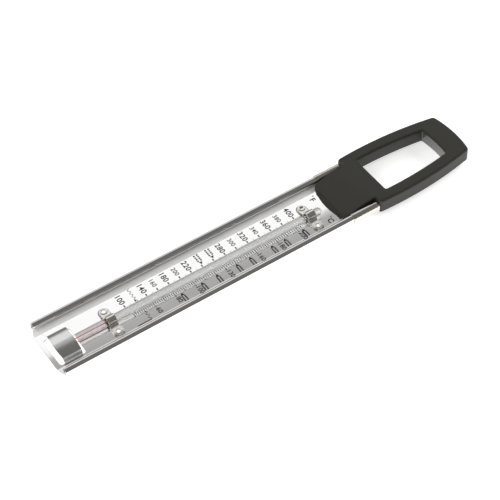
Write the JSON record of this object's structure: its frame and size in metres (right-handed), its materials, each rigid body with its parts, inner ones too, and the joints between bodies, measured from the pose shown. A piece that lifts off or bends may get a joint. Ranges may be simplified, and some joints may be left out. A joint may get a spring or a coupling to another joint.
{
  "type": "paddle thermometer",
  "caption": "Liquid-in-glass cooking thermometer on a rolled-edge steel plate, with a windowed plastic handle and a sprung clip that slides along the plate and grips a pan's rim.",
  "frame": {"origin": "under the middle of the thermometer's box, at the height of its lowest point, with the thermometer lying on its back", "axes": "+X runs along the plate from the bulb end to the handle, +Y is the Fahrenheit side, +Z is the way the scales face"},
  "size_m": [0.305, 0.0478, 0.0137],
  "materials": {
    "plate_steel": "bright polished stainless sheet with printed scales",
    "bright_steel": "bright plated straps and eyelets",
    "clip_steel": "spring steel, lightly brushed",
    "screw_steel": "zinc plated",
    "tube_glass": "clear, smooth",
    "red_liquid": "red dyed liquid",
    "handle_plastic": "matt moulded, very dark olive grey"
  },
  "bodies": {
    "thermometer": {"scale_plate": "plate_steel", "glass_tube": "tube_glass", "bulb_liquid": "red_liquid", "liquid_thread": "red_liquid", "lower_tube_clip": "bright_steel", "upper_tube_clip": "bright_steel", "lower_left_eyelet": "bright_steel", "lower_right_eyelet": "bright_steel", "upper_left_eyelet": "bright_steel", "upper_right_eyelet": "bright_steel", "handle_front": "handle_plastic", "handle_rear": "handle_plastic", "handle_screw_left": "screw_steel", "handle_screw_right": "screw_steel", "handle_screw_end": "screw_steel"},
    "pan_clip": {"pan_clip": "clip_steel"},
    "liquid_column": {"column_tip": "red_liquid"}
  },
  "joints": [
    {"name": "pan_clip_slide", "type": "slide", "parent": "thermometer", "child": "pan_clip", "axis": [-1, 0, 0], "range_m": [0, 0.15]},
    {"name": "liquid_rise", "type": "slide", "parent": "thermometer", "child": "liquid_column", "axis": [1, 0, 0], "range_m": [-0.012, 0.142], "deforming": ["liquid_thread"]}
  ]
}
